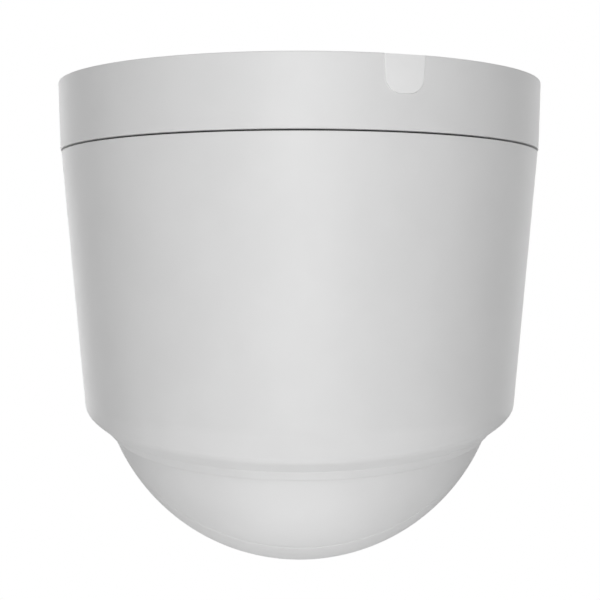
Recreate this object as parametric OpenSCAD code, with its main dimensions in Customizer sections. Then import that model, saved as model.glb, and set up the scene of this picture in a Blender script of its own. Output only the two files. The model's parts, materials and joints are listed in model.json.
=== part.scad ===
// Ceiling pan-tilt camera: a base with a slip ring and pan drive, a drum that turns under it
// and a two-part ball with the zoom lens, which tilts inside the drum.
// Millimetres. The ceiling is the plane z = 0 and the camera hangs below it.
// At rest the lens looks towards -Y and down by rest_tilt. Left is +X, as the camera sees it.

/* [Ball] */
// Diameter of the ball
ball_d = 111.4; // [100:0.2:134]
// Wall of the ball shells
ball_wall = 2.2; // [1.8:0.1:2.8]
// Angle of the lens below the horizon at rest
rest_tilt = 28.5; // [10:0.5:45]
// Radius of the round front opening of the ball
face_r = 33; // [30:0.5:35]
// Radius of the cable opening at the back of the ball
back_hole_r = 26; // [18:1:27]

/* [Drum] */
// Gap between ball and drum at the height of the tilt axis
ball_side_gap = 2.9; // [2.6:0.1:5]
// Gap between turntable and top of the ball
ball_top_gap = 1.1; // [0.8:0.1:4]
// Wall of the drum
drum_wall = 2.2; // [1.8:0.1:2.6]
// Radius that the drum gains per millimetre of height
drum_slope = 0.0937; // [0.06:0.002:0.12]
// Angle of the drum's rim, which is lower at the back
rim_tilt = 11.3; // [6:0.1:14]
// Distance from the tilt axis to the start of the rim band, along the rim's own axis
rim_depth = 15.7; // [14.5:0.1:17]
// Radius of the rounded shoulder
shoulder_r = 4; // [3:0.1:5]
// Radius of the arch through which the lens looks out
arch_r = 35; // [34:0.5:38]
// Gap between ball and rim
lip_gap = 0.4; // [0.3:0.05:0.8]

/* [Base] */
// Height of the base ring
base_h = 18.5; // [18.5:0.5:22]
// Wall of the base ring
base_wall = 2.4; // [2:0.1:3]
// Radius that the base ring gains up to the ceiling
base_draft = 0.6; // [0.2:0.1:1]
// Seam between base ring and drum
seam_gap = 0.5; // [0.4:0.05:1]
// Thickness of the ceiling plate
plate_t = 1.5; // [1.2:0.1:1.8]
// Radius of the cable hole in the ceiling plate
plate_hole_r = 17; // [12:0.5:18]
// Radius of the circle of ceiling screws
ceiling_screw_circle_r = 36; // [34:1:38]
// Radius of the holes for the ceiling screws
ceiling_screw_r = 2.3; // [2:0.1:2.8]

/* [Cable entry] */
// Width of the side cable entry
entry_w = 11.2; // [9:0.1:13]
// Height of the side cable entry
entry_h = 9.6; // [8:0.1:10.5]
// Corner radius of the side cable entry
entry_corner_r = 4; // [2:0.1:4.4]
// Angle of the side cable entry from the back, towards -X
entry_angle = 22.5; // [20:0.5:26]

/* [Pan drive] */
// Bore radius of the pan bearing
bearing_bore_r = 15; // [14:0.5:15.5]
// Outer radius of the pan bearing
bearing_outer_r = 21; // [20.5:0.5:22]
// Width of the pan bearing
bearing_w = 7; // [6.6:0.1:7]
// Radius of the bearing balls
bearing_ball_r = 1.6; // [1.4:0.05:1.65]
// Number of bearing balls
bearing_balls_n = 14; // [10:1:16]
// Tooth module of the pan gears
pan_module = 0.8; // [0.7:0.05:0.85]
// Teeth of the pan gear
pan_gear_teeth = 90; // [80:1:92]
// Teeth of the pan pinion
pan_pinion_teeth = 14; // [12:1:16]
// Radius of the pan motor
pan_motor_r = 12.5; // [10:0.5:13]

/* [Tilt drive] */
// Tooth module of the tilt gears
tilt_module = 0.6; // [0.5:0.05:0.65]
// Teeth of the fixed tilt gear
tilt_gear_teeth = 40; // [36:1:44]
// Teeth of the tilt pinion
tilt_pinion_teeth = 14; // [12:1:16]
// Radius of the tilt motor
tilt_motor_r = 10; // [8:0.5:11]
// Radius of the tilt axles
axle_r = 3; // [2.5:0.1:4]
// Thickness of the yoke arms
arm_t = 3; // [2.5:0.1:3.5]
// Width of the yoke arms
arm_w = 20; // [16:1:22]

/* [Lens] */
// Outer radius of the lens barrel
barrel_r = 15; // [14:0.2:15.4]
// Wall of the lens barrel
barrel_wall = 1.6; // [1.2:0.1:1.8]
// Travel of the zoom carriage each way
zoom_travel = 5; // [3:0.5:5]
// Travel of the focus carriage each way
focus_travel = 3; // [1:0.5:3]
// Radius of the guide rods
rod_r = 0.8; // [0.6:0.05:1]
// Number of infrared lamps
lamps_n = 8; // [4:1:10]
// Radius of the circle of infrared lamps
lamp_circle_r = 24; // [22:0.5:26]

/* [Hidden] */
$fn = 180;

// Clearances
cut = 1;
running = 0.05;
rod_running = 0.07;
backlash = 0.2;
pressure_angle = 25;
race_gap = 0.1;
plug_gap = 0.1;

// Screws
screw_r = 1.1;
screw_head_r = 2.2;
screw_head_h = 1.2;
post_r = 2.5;
lug_size = [9, 10, 3];
lug_in = 2.5;

// Depths below the ceiling
chassis_top = 4;
chassis_t = 2;
chassis_bottom = chassis_top + chassis_t;
bearing_bottom = chassis_bottom + bearing_w;
retainer_t = 0.8;
turntable_t = 2;
turntable_bottom = base_h + 0.9;
turntable_top = turntable_bottom - turntable_t;
pan_gear_top = turntable_top - 2.8;
drum_top = base_h + seam_gap;
board_t = 1.6;
board_top = base_h - 5.1;
board_bottom = board_top + board_t;

// Ball and drum
ball_r = ball_d / 2;
ball_inner_r = ball_r - ball_wall;
ball_depth = turntable_bottom + ball_top_gap + ball_r;
drum_axis_r = ball_r + ball_side_gap + drum_wall;
function drum_r(depth) = drum_axis_r + drum_slope * (ball_depth - depth);
drum_inner_top_r = drum_r(drum_top) - drum_wall;

// Rim, as radius and depth about the slanted axis through the ball's centre
lip_r = ball_r + lip_gap;
rim_r = ball_r - 0.3;
rim_seat_depth = rim_depth - 3.2;
band_drop = 2.9;
band_in = 2.45;
bowl_slope = 17.5;
bowl_height = 90;
shoulder_steps = 6;
band_slope = 49.6;
bowl_corner = [drum_axis_r - 1.26, rim_depth - 3.52];

// Base
base_bottom_r = drum_r(drum_top) + 0.24;
base_top_r = base_bottom_r + base_draft;
base_inner_r = base_bottom_r - base_wall;
chassis_r = base_inner_r - 0.4;
plate_r = base_inner_r - 9;
base_screw_circle_r = base_inner_r - 5.5;
lug_angles = [45, 135, 225, 315];
entry_face_r = sqrt(base_top_r * base_top_r - entry_w * entry_w / 4);
entry_lip = 1.2;
entry_lip_r = sqrt(base_inner_r * base_inner_r - pow(entry_w / 2 + entry_lip, 2)) - 0.1;

// Circuit board and what stands on it
board_inner_r = 39;
board_outer_r = base_inner_r - 6;
post_circle_r = board_outer_r - 4;
post_angles = [20, 80, 145, 190, 335];
hook_angles = [50, 170, 290];
hook_r = 47;
hook_w = 12;
hook_t = 1.5;
hook_reach = 5.5;
hook_foot_t = 1.2;
hook_bottom = chassis_bottom + 0.2 + hook_foot_t;
header_at = [-28, 44];
header_size = [20, 6, 8];
header_pins = 8;
header_wall = 1;
header_floor = 1.5;
header_pin_w = 0.6;
terminal_at = [12, 42];
terminal_size = [12, 8];
terminal_top = 3;
transformer_at = [-52, -4];
transformer_size = [10, 12, 5.5];
slot_at = [41, -7.5];
slot_size = [13, 15, 1.8];
card_size = [14, 11, 0.8];
card_room = [14, 11.4, 1];
switch_size = [6, 6, 3.5];
switch_floor = 1;
button_at = [41, -29];
button_r = 1.7;
button_h = 3.6;
button_travel = 0.3;

// Pan drive
pan_gear_r = pan_module * pan_gear_teeth / 2;
pan_pinion_r = pan_module * pan_pinion_teeth / 2;
pan_centres = pan_gear_r + pan_pinion_r;
pan_motor_azimuth = 230;
pan_motor_bottom = pan_gear_top - 1;
motor_shaft_r = 1;
pan_pinion_w = 2.4;
pinion_lift = 0.3;
race_lip = 1.2;
stator_flange_t = 1.2;
stator_bore_r = 3.6;
rotor_shaft_r = 3.5;
lead_w = 4.4;
lead_t = 1.2;
lead_l = 38;
hub_inner_r = bearing_bore_r - 3.5;
shoulder_hub_r = bearing_bore_r + 1.6;
bearing_mid_r = (bearing_bore_r + bearing_outer_r) / 2;
bearing_tube_r = bearing_outer_r + 3;
slip_ring_r = hub_inner_r - 3.5;
rotor_r = 6;
seal_r = turntable_edge() + 2;
function turntable_edge() = drum_inner_top_r - 2.8;
boss_circle_r = drum_inner_top_r - 5.4;
boss_r = 4.2;
boss_angles = [35, 145, 215, 325];
boss_bottom = turntable_bottom + 10;
driver_board_top = turntable_bottom + 3.8;
driver_board_in = 40;
driver_board_out = 56;
driver_post_angles = [62, 118];
driver_post_circle_r = 52;

// Yoke
arm_out = sqrt(pow(drum_axis_r - drum_wall - 0.8, 2) - arm_w * arm_w / 4);
arm_in = arm_out - arm_t;
side_hole_r = sqrt(ball_r * ball_r - pow(arm_in - 0.7, 2));
foot_in = arm_in - 10;
foot_t = 2.5;
foot_screw_in = 4.5;
foot_screw_y = 6;
side_plate_t = 2;
side_plate_out = arm_in - 13.9;
side_plate_in = side_plate_out - side_plate_t;
bush_r = axle_r + 2;
bush_flange_r = axle_r + 3.5;
bush_flange_t = 1;
tilt_gear_in = side_plate_out + bush_flange_t + 1;
tilt_gear_w = 3;
tilt_gear_r = tilt_module * tilt_gear_teeth / 2;
tilt_pinion_r = tilt_module * tilt_pinion_teeth / 2;
tilt_centres = tilt_gear_r + tilt_pinion_r;
tilt_motor_l = 15;

// Inside the ball, as distances in front of the tilt axis
frame_front = 14;
frame_back = 12;
window_front = sqrt(ball_r * ball_r - face_r * face_r) + 0.1;
window_t = 1.6;
window_r = face_r - 0.4;
window_back = window_front - window_t;
bezel_flange_front = window_back - 2.4;
bezel_flange_back = bezel_flange_front - 1.6;
bezel_flange_r = sqrt(ball_inner_r * ball_inner_r - bezel_flange_front * bezel_flange_front) - 0.2;
lamp_board_back = bezel_flange_back - board_t;
lamp_r = 2.6;
front_boss = [31, 23];
rear_boss = [16, 30];
ball_boss_r = 3;
barrel_inner_r = barrel_r - barrel_wall;
barrel_front = window_back - 3.4;
lens_seat = barrel_front - 6;
seat_lip_w = 4;
slot_over = 2.5;
slot_from = 5;
flange_w = 4;
lens_sag = 3.3;
lens_glass_r = barrel_inner_r - 0.3;
lens_edge_t = 2;
lens_radius = (lens_glass_r * lens_glass_r + lens_sag * lens_sag) / (2 * lens_sag);
rod_x = barrel_inner_r - 2.4;
carriage_r = barrel_inner_r - 0.5;
carriage_bore_r = rod_x - 2.2;
zoom_at = 22.5;
zoom_l = 7;
focus_at = 3.5;
focus_l = 5;
arm_half_w = 1.5;
arm_slot_half_w = 2.2;
carriage_arm_out = barrel_r + 2;
element_r = 20;
element_offset = 17;
barrel_back = -6;
back_plate_half = 17;
sensor_posts = 14;
sensor_gap = 4.2;
filter_step = 5.5;

// Colours
white_plastic = [0.87, 0.87, 0.86];
black_plastic = [0.09, 0.09, 0.1];
dark_glass = [0.04, 0.04, 0.05];
cast_metal = [0.62, 0.63, 0.65];
steel = [0.72, 0.73, 0.75];
brass_metal = [0.78, 0.65, 0.35];
board_green = [0.1, 0.32, 0.2];
rubber_black = [0.13, 0.13, 0.14];
nylon = [0.85, 0.84, 0.78];
lens_glass = [0.35, 0.45, 0.6];

// Moves what is drawn at z = 0 down by a depth
module down(depth) translate([0, 0, -depth]) children();

// The tilt axis' own frame, level and facing -Y
module at_ball() translate([0, 0, -ball_depth]) children();

// The ball's frame, tilted to its rest position
module tilted() at_ball() rotate([rest_tilt, 0, 0]) children();

// The rim's frame, about the slanted axis
module slanted() at_ball() rotate([-rim_tilt, 0, 0]) children();

// Round tube from one depth to another
module ring_down(from, to, outer, inner) {
    difference() {
        down(to) cylinder(h = to - from, r = outer);
        down(to + cut) cylinder(h = to - from + 2 * cut, r = inner);
    }
}

// Cylinder along the lens axis, from one distance in front of the tilt axis to another
module rod_front(from, to, r) translate([0, -from, 0]) rotate([90, 0, 0]) cylinder(h = to - from, r = r);

// Tube along the lens axis
module tube_front(from, to, outer, inner) {
    difference() {
        rod_front(from, to, outer);
        rod_front(from - cut, to + cut, inner);
    }
}

// Box in front of the tilt axis, centred sideways
module block_front(from, to, half_x, low_z, high_z) {
    translate([-half_x, -to, low_z]) cube([2 * half_x, to - from, high_z - low_z]);
}

// Cylinder along +X
module rod_x_to(from, to, r) translate([from, 0, 0]) rotate([0, 90, 0]) cylinder(h = to - from, r = r);

// Screw pointing up, with the underside of its head at z = 0
module screw_up(length) {
    cylinder(h = length, r = screw_r);
    translate([0, 0, -screw_head_h]) cylinder(h = screw_head_h, r = screw_head_r);
}

// Involute gear outline
function involute(a) = tan(a) * 180 / PI - a;
function half_tooth(r, rp, rb, m) =
    (PI * m / 2 - backlash / 2) / (2 * rp) * 180 / PI
    + involute(pressure_angle) - (r > rb ? involute(acos(rb / r)) : 0);
function flank_radii(rp, m) = let (rb = rp * cos(pressure_angle), root = rp - 1.1 * m, tip = rp + 0.8 * m)
    root < rb ? [root, rb + 0.01, rp, tip] : [root, rp, tip];
function gear_points(m, teeth) = let (
        rp = m * teeth / 2,
        rb = rp * cos(pressure_angle),
        radii = flank_radii(rp, m),
        last = len(radii) - 1
    ) [
        for (t = [0:teeth - 1], i = [0:2 * last + 1])
            let (
                r = i <= last ? radii[i] : radii[2 * last + 1 - i],
                side = i <= last ? -1 : 1,
                a = t * 360 / teeth + side * half_tooth(r, rp, rb, m)
            ) [r * cos(a), r * sin(a)]
    ];

// Gear with a tooth on +X
module gear(m, teeth, width) linear_extrude(height = width) polygon(gear_points(m, teeth));

// U-shaped outline of the cable entry, open at the top, grown by extra
module entry_outline(extra) {
    half = entry_w / 2 + extra;
    corner = entry_corner_r + extra;
    translate([-half, corner - entry_h - extra]) square([2 * half, entry_h + extra - corner]);
    translate([corner - half, -entry_h - extra]) square([2 * half - 2 * corner, entry_h + extra]);
    for (side = [-1, 1])
        translate([side * (half - corner), corner - entry_h - extra]) circle(r = corner);
}

// The entry's outline as a bar along its own direction
module entry_bar(from, to, extra) {
    rotate([0, 0, entry_angle]) translate([0, to, 0]) rotate([90, 0, 0])
        linear_extrude(height = to - from) entry_outline(extra);
}

// Room for the entry and its plug
module entry_room() {
    rotate([0, 0, entry_angle])
        translate([-entry_w / 2 - 2.4, entry_face_r - 6.5, -entry_h - 2.4])
            cube([entry_w + 4.8, 12, entry_h + 4]);
}

/* Base */

module mounting_plate() color(steel) {
    difference() {
        down(plate_t) cylinder(h = plate_t, r = plate_r);
        down(plate_t + cut) cylinder(h = plate_t + 2 * cut, r = plate_hole_r);
        for (a = [0:90:270])
            rotate([0, 0, a]) translate([ceiling_screw_circle_r, 0, -plate_t - cut])
                cylinder(h = plate_t + 2 * cut, r = ceiling_screw_r);
        for (a = hook_angles)
            rotate([0, 0, a]) translate([hook_r + hook_t, -hook_w / 2, -plate_t - cut])
                cube([hook_reach - hook_t + 0.4, hook_w, plate_t + 2 * cut]);
    }
    for (a = hook_angles) rotate([0, 0, a]) {
        translate([hook_r, -hook_w / 2, -hook_bottom]) cube([hook_t, hook_w, hook_bottom]);
        translate([hook_r, -hook_w / 2, -hook_bottom]) cube([hook_reach, hook_w, hook_foot_t]);
    }
}

module ceiling_gasket() color(rubber_black) {
    difference() {
        ring_down(0, chassis_top, base_inner_r - 0.2, base_inner_r - 2.6);
        entry_room();
    }
}

module base_ring() color(white_plastic) {
    difference() {
        union() {
            difference() {
                down(base_h) cylinder(h = base_h, r1 = base_bottom_r, r2 = base_top_r);
                down(base_h + cut) cylinder(h = base_h + 2 * cut, r = base_inner_r);
            }
            for (a = lug_angles)
                rotate([0, 0, a])
                    translate([base_screw_circle_r - lug_in, -lug_size.y / 2, -chassis_bottom - lug_size.z])
                        cube(lug_size);
        }
        for (a = lug_angles)
            rotate([0, 0, a]) translate([base_screw_circle_r, 0, -chassis_bottom - lug_size.z - cut])
                cylinder(h = lug_size.z + 2 * cut, r = screw_r);
        translate([0, 0, 0.01]) entry_bar(entry_face_r - 5, entry_face_r + 3, 0);
    }
}

module cable_entry_plug() color(white_plastic) {
    intersection() {
        union() {
            entry_bar(entry_lip_r - entry_lip, entry_face_r, -plug_gap);
            entry_bar(entry_lip_r - entry_lip, entry_lip_r, entry_lip);
        }
        down(entry_h + 4) cylinder(h = entry_h + 4, r = base_top_r + 2);
    }
}

module base_chassis() color(cast_metal) {
    difference() {
        union() {
            down(chassis_bottom) cylinder(h = chassis_t, r = chassis_r);
            down(bearing_bottom) cylinder(h = bearing_w, r = bearing_tube_r);
            for (a = post_angles)
                rotate([0, 0, a]) translate([post_circle_r, 0, -board_top])
                    cylinder(h = board_top - chassis_bottom + 1, r = post_r);
        }
        down(bearing_bottom + cut) cylinder(h = bearing_w + cut, r = bearing_outer_r);
        down(chassis_bottom + cut) cylinder(h = chassis_t + 2 * cut, r = bearing_outer_r - 1.5);
        for (a = hook_angles)
            rotate([0, 0, a]) translate([hook_r - 1, -hook_w / 2 - 2, -chassis_bottom - cut])
                cube([hook_reach + 2.5, 2 * hook_w - 2, chassis_t + 2 * cut]);
        for (a = lug_angles)
            rotate([0, 0, a]) translate([base_screw_circle_r, 0, -chassis_bottom - cut])
                cylinder(h = chassis_t + 2 * cut, r = screw_r);
        for (a = post_angles)
            rotate([0, 0, a]) translate([post_circle_r, 0, -board_top - cut])
                cylinder(h = board_top - chassis_bottom, r = screw_r);
        translate([header_at.x - 1, header_at.y - 1, -chassis_bottom - cut])
            cube([header_size.x + 2, header_size.y + 2, chassis_t + 2 * cut]);
        translate([terminal_at.x - 1, terminal_at.y - 1, -chassis_bottom - cut])
            cube([terminal_size.x + 2, terminal_size.y + 2, chassis_t + 2 * cut]);
        translate([button_at.x, button_at.y, -chassis_bottom - cut])
            cylinder(h = chassis_t + 2 * cut, r = 3);
        entry_room();
    }
}

module base_screws() color(steel) {
    for (a = lug_angles)
        rotate([0, 0, a]) translate([base_screw_circle_r, 0, -chassis_top])
            rotate([180, 0, 0]) screw_up(5);
    for (a = post_angles)
        rotate([0, 0, a]) translate([post_circle_r, 0, -board_bottom]) screw_up(6);
}

module main_board() color(board_green) {
    difference() {
        ring_down(board_top, board_bottom, board_outer_r, board_inner_r);
        rotate([0, 0, pan_motor_azimuth]) down(board_bottom + cut)
            linear_extrude(height = board_t + 2 * cut) polygon([[0, 0], [90, -64], [90, 64]]);
        for (a = post_angles)
            rotate([0, 0, a]) translate([post_circle_r, 0, -board_bottom - cut])
                cylinder(h = board_t + 2 * cut, r = screw_r);
    }
}

module cable_header() color(nylon) {
    difference() {
        translate([header_at.x, header_at.y, -board_top]) cube(header_size);
        translate([header_at.x + header_wall, header_at.y + header_wall, -board_top + header_floor])
            cube([header_size.x - 2 * header_wall, header_size.y - 2 * header_wall, header_size.z]);
    }
    for (i = [1:header_pins])
        translate([
            header_at.x + i * header_size.x / (header_pins + 1) - header_pin_w / 2,
            header_at.y + (header_size.y - header_pin_w) / 2,
            -board_top
        ]) cube([header_pin_w, header_pin_w, header_size.z - header_floor]);
}

module terminal_block() color([0.15, 0.4, 0.25]) {
    difference() {
        translate([terminal_at.x, terminal_at.y, -board_top])
            cube([terminal_size.x, terminal_size.y, board_top - terminal_top]);
        for (x = [3, 9])
            translate([terminal_at.x + x, terminal_at.y + 4, -board_top + 3])
                cylinder(h = 20, r = 1.5);
    }
}

module power_transformer() color(black_plastic) {
    translate([transformer_at.x, transformer_at.y, -board_top]) cube(transformer_size);
    translate([transformer_at.x - 2, transformer_at.y + 2, -board_top])
        cube([2, transformer_size.y - 4, 1.5]);
}

module memory_card_slot() color(steel) {
    difference() {
        translate([slot_at.x, slot_at.y, -board_top]) cube(slot_size);
        translate([slot_at.x + 1, -card_room.y / 2, -board_top + 0.4]) cube(card_room);
    }
}

module memory_card() color(black_plastic) {
    translate([slot_at.x + 1.4, -card_size.y / 2, -board_top + 0.5]) cube(card_size);
}

module reset_switch() color(black_plastic) {
    difference() {
        translate([button_at.x - switch_size.x / 2, button_at.y - switch_size.y / 2, -board_top])
            cube(switch_size);
        translate([button_at.x, button_at.y, -board_top + switch_floor])
            cylinder(h = switch_size.z + cut, r = button_r + running);
    }
}

module reset_button() color(brass_metal) {
    translate([button_at.x, button_at.y, -board_top + switch_floor + button_travel + 0.1])
        cylinder(h = button_h, r = button_r);
}

/* Pan drive */

module pan_motor() color(steel) {
    rotate([0, 0, pan_motor_azimuth]) translate([pan_centres, 0, 0]) difference() {
        down(pan_motor_bottom) cylinder(h = pan_motor_bottom - chassis_bottom, r = pan_motor_r);
        down(pan_motor_bottom + cut)
            cylinder(h = pan_motor_bottom - chassis_bottom, r = motor_shaft_r + running);
    }
}

module pan_pinion() color(brass_metal) {
    rotate([0, 0, pan_motor_azimuth]) translate([pan_centres, 0, 0]) {
        down(turntable_top - pinion_lift) rotate([0, 0, 180 + 180 / pan_pinion_teeth])
            gear(pan_module, pan_pinion_teeth, pan_pinion_w);
        down(turntable_top - pinion_lift)
            cylinder(h = turntable_top - pinion_lift - chassis_bottom - 1.5, r = motor_shaft_r);
    }
}

// Race of the pan bearing, with a groove for the balls
module race(inner, outer) {
    difference() {
        ring_down(chassis_bottom, bearing_bottom, outer, inner);
        down(chassis_bottom + bearing_w / 2) rotate_extrude()
            translate([bearing_mid_r, 0]) circle(r = bearing_ball_r + race_gap);
    }
}

module bearing_outer_race() color(steel) race(bearing_mid_r + race_lip, bearing_outer_r);

module bearing_inner_race() color(steel) race(bearing_bore_r, bearing_mid_r - race_lip);

module bearing_balls() color(steel) {
    for (i = [0:bearing_balls_n - 1])
        rotate([0, 0, i * 360 / bearing_balls_n])
            translate([bearing_mid_r, 0, -chassis_bottom - bearing_w / 2]) sphere(r = bearing_ball_r);
}

module bearing_retainer() color(steel) {
    ring_down(bearing_bottom, bearing_bottom + retainer_t, bearing_tube_r, bearing_mid_r + 1.6);
}

module pan_hub() color(cast_metal) {
    difference() {
        union() {
            down(turntable_top) cylinder(h = turntable_top - chassis_top - 0.6, r = bearing_bore_r);
            down(pan_gear_top) cylinder(h = pan_gear_top - bearing_bottom, r = shoulder_hub_r);
        }
        down(turntable_top + cut) cylinder(h = turntable_top, r = hub_inner_r);
        for (a = [45:90:315])
            rotate([0, 0, a]) translate([(hub_inner_r + bearing_bore_r) / 2, 0, -turntable_top - cut])
                cylinder(h = 5 + cut, r = screw_r);
    }
}

module hub_lock_ring() color(steel) {
    ring_down(chassis_bottom - 1, chassis_bottom, shoulder_hub_r, bearing_bore_r);
}

module pan_gear() color(nylon) {
    difference() {
        down(turntable_top) rotate([0, 0, pan_motor_azimuth])
            gear(pan_module, pan_gear_teeth, turntable_top - pan_gear_top);
        down(turntable_top + cut) cylinder(h = 6, r = bearing_bore_r);
    }
}

module slip_ring_stator() color(black_plastic) {
    difference() {
        union() {
            down(chassis_top) cylinder(h = stator_flange_t, r = bearing_outer_r + 1);
            down(turntable_top - 2.5) cylinder(h = turntable_top - 2.5 - chassis_top, r = slip_ring_r);
        }
        down(turntable_top) cylinder(h = turntable_top - chassis_top - 1, r = stator_bore_r);
    }
}

module slip_ring_rotor() color(brass_metal) {
    down(turntable_top - 0.5) cylinder(h = 10, r = rotor_shaft_r);
    down(turntable_top - 1) cylinder(h = 1.2, r = slip_ring_r);
    down(turntable_bottom - 0.2) cylinder(h = turntable_t + 1, r = rotor_r);
}

module slip_ring_lead() color([0.5, 0.5, 0.52]) {
    translate([-lead_w / 2, rotor_r, -turntable_bottom + 0.2]) cube([lead_w, lead_l, lead_t]);
    translate([-lead_w / 2, rotor_r + lead_l - lead_t, -driver_board_top]) cube([lead_w, lead_t, 4.4]);
}

module turntable() color(cast_metal) {
    difference() {
        union() {
            down(turntable_bottom) cylinder(h = turntable_t, r = turntable_edge());
            for (a = driver_post_angles)
                rotate([0, 0, a]) translate([driver_post_circle_r, 0, -driver_board_top])
                    cylinder(h = driver_board_top - turntable_bottom + 0.2, r = 2);
        }
        down(turntable_bottom + cut) cylinder(h = turntable_t + 2 * cut, r = rotor_r);
        translate([-lead_w / 2 - 0.4, rotor_r - 1, -turntable_bottom - cut])
            cube([lead_w + 0.8, lead_l + 3, turntable_t + 2 * cut]);
        turntable_screw_places() {
            translate([0, 0, -cut]) cylinder(h = turntable_t + 2 * cut, r = screw_r);
            translate([0, 0, turntable_t - screw_head_h]) cylinder(h = screw_head_h + cut, r = screw_head_r);
        }
        hub_screw_places() {
            translate([0, 0, -cut]) cylinder(h = turntable_t + 2 * cut, r = screw_r);
            translate([0, 0, -cut]) cylinder(h = screw_head_h + cut, r = screw_head_r);
        }
        foot_screw_places() cylinder(h = foot_t + turntable_t + cut, r = screw_r);
    }
}

// Drum screws, from the turntable's underside
module turntable_screw_places() {
    for (a = boss_angles)
        rotate([0, 0, a]) translate([boss_circle_r, 0, -turntable_bottom]) children();
}

module hub_screw_places() {
    for (a = [45:90:315])
        rotate([0, 0, a]) translate([(hub_inner_r + bearing_bore_r) / 2, 0, -turntable_bottom]) children();
}

// Yoke screws, from the feet's underside
module foot_screw_places() {
    for (side = [-1, 1], y = [-foot_screw_y, foot_screw_y])
        translate([side * (foot_in + foot_screw_in), y, -turntable_bottom - foot_t]) children();
}

module turntable_screws() color(steel) {
    turntable_screw_places() translate([0, 0, turntable_t - screw_head_h]) rotate([180, 0, 0]) screw_up(7);
    hub_screw_places() translate([0, 0, screw_head_h]) screw_up(5);
    foot_screw_places() screw_up(foot_t + turntable_t);
}

module seal_ring() color(rubber_black) {
    ring_down(turntable_top - 2, turntable_bottom, seal_r, turntable_edge());
}

module driver_board() color(board_green) {
    bottom = driver_board_top + board_t;
    difference() {
        intersection() {
            ring_down(driver_board_top, bottom, driver_board_out, driver_board_in);
            down(bottom) linear_extrude(height = board_t) polygon([[0, 0], [60, 66], [-60, 66]]);
        }
        for (a = driver_post_angles)
            rotate([0, 0, a]) translate([driver_post_circle_r, 0, -bottom - cut])
                cylinder(h = board_t + 2 * cut, r = screw_r);
    }
    translate([-6, driver_board_in + 3, -bottom - 1.2]) cube([12, 8, 1.2]);
}

/* Drum */

// Cone about the pan axis, with its radius reduced by inset
module drum_cone(inset, from, to) {
    down(to) cylinder(h = to - from, r1 = drum_r(to) - inset, r2 = drum_r(from) - inset);
}

// Outline of the slanted bowl, from its straight side over the round shoulder to the band
function bowl_side_r(depth) = bowl_corner.x + (bowl_corner.y - depth) * tan(bowl_slope);
function shoulder_start() = let (tangent = shoulder_r * tan((band_slope - bowl_slope) / 2))
    [bowl_corner.x + tangent * sin(bowl_slope), tangent * cos(bowl_slope) - bowl_corner.y];
function shoulder_centre() = shoulder_start() + shoulder_r * [-cos(bowl_slope), sin(bowl_slope)];
function shoulder_point(a) = shoulder_centre() + shoulder_r * [cos(a), -sin(a)];
function bowl_outline() = let (
        high = [bowl_side_r(-bowl_height), bowl_height],
        end = shoulder_point(band_slope),
        low = [rim_r, end.y - (end.x - rim_r) / tan(band_slope)]
    ) concat(
        [[0, high.y], high],
        [for (i = [0:shoulder_steps])
            shoulder_point(bowl_slope + i * (band_slope - bowl_slope) / shoulder_steps)],
        [low, [0, low.y]]
    );

// Outline of the arch, with straight legs down past the rim
module arch_outline() {
    circle(r = arch_r);
    translate([-arch_r, -90]) square([2 * arch_r, 90]);
}

// Everything in front of the drum's arch
module arch_room() {
    at_ball() translate([0, -20, 0]) rotate([90, 0, 0]) linear_extrude(height = 80) arch_outline();
}

module pan_housing() color(white_plastic) {
    difference() {
        union() {
            difference() {
                intersection() {
                    drum_cone(0, drum_top, ball_depth + 40);
                    slanted() rotate_extrude() polygon(bowl_outline());
                }
                intersection() {
                    drum_cone(drum_wall, drum_top - cut, ball_depth + 40);
                    slanted() rotate_extrude() polygon([
                        [0, bowl_height + cut],
                        [bowl_side_r(-bowl_height) - drum_wall, bowl_height + cut],
                        [bowl_side_r(rim_seat_depth - 6) - drum_wall, 6 - rim_seat_depth],
                        [lip_r + 0.6, 0.6 - rim_seat_depth],
                        [lip_r + 0.6, -rim_seat_depth],
                        [rim_r, -rim_seat_depth],
                        [rim_r, -rim_depth - 5],
                        [0, -rim_depth - 5]
                    ]);
                }
            }
            intersection() {
                for (a = boss_angles)
                    rotate([0, 0, a]) translate([boss_circle_r, 0, -boss_bottom]) {
                        cylinder(h = boss_bottom - turntable_bottom, r = boss_r);
                        translate([0, -1.5, 0]) cube([7, 3, boss_bottom - turntable_bottom]);
                    }
                drum_cone(0.8, drum_top, ball_depth);
            }
        }
        for (a = boss_angles)
            rotate([0, 0, a]) translate([boss_circle_r, 0, -boss_bottom + 2])
                cylinder(h = boss_bottom, r = screw_r);
        arch_room();
    }
}

module ball_trim_ring() color(white_plastic) {
    difference() {
        slanted() rotate_extrude() difference() {
            polygon([
                [rim_r - 4, -rim_seat_depth],
                [rim_r, -rim_seat_depth],
                [rim_r, -rim_depth],
                [rim_r - band_in, -rim_depth - band_drop],
                [rim_r - 6, -rim_depth - band_drop]
            ]);
            circle(r = lip_r);
        }
        arch_room();
    }
}

/* Yoke */

module yoke_arm() color(cast_metal) {
    difference() {
        union() {
            at_ball() rod_x_to(arm_in, arm_out, arm_w / 2);
            translate([arm_in, -arm_w / 2, -ball_depth]) cube([arm_t, arm_w, ball_depth - turntable_bottom]);
            translate([foot_in, -arm_w / 2, -turntable_bottom - foot_t])
                cube([arm_out - foot_in, arm_w, foot_t]);
        }
        at_ball() rod_x_to(arm_in - cut, arm_out + cut, axle_r);
        for (y = [-foot_screw_y, foot_screw_y])
            translate([foot_in + foot_screw_in, y, -turntable_bottom - foot_t - cut])
                cylinder(h = foot_t + 2 * cut, r = screw_r);
    }
}

module yoke_arm_left() yoke_arm();

module yoke_arm_right() mirror([1, 0, 0]) yoke_arm();

module tilt_axle() color(steel) at_ball() rod_x_to(side_plate_in - 0.4, arm_out, axle_r);

module tilt_axle_left() tilt_axle();

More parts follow.
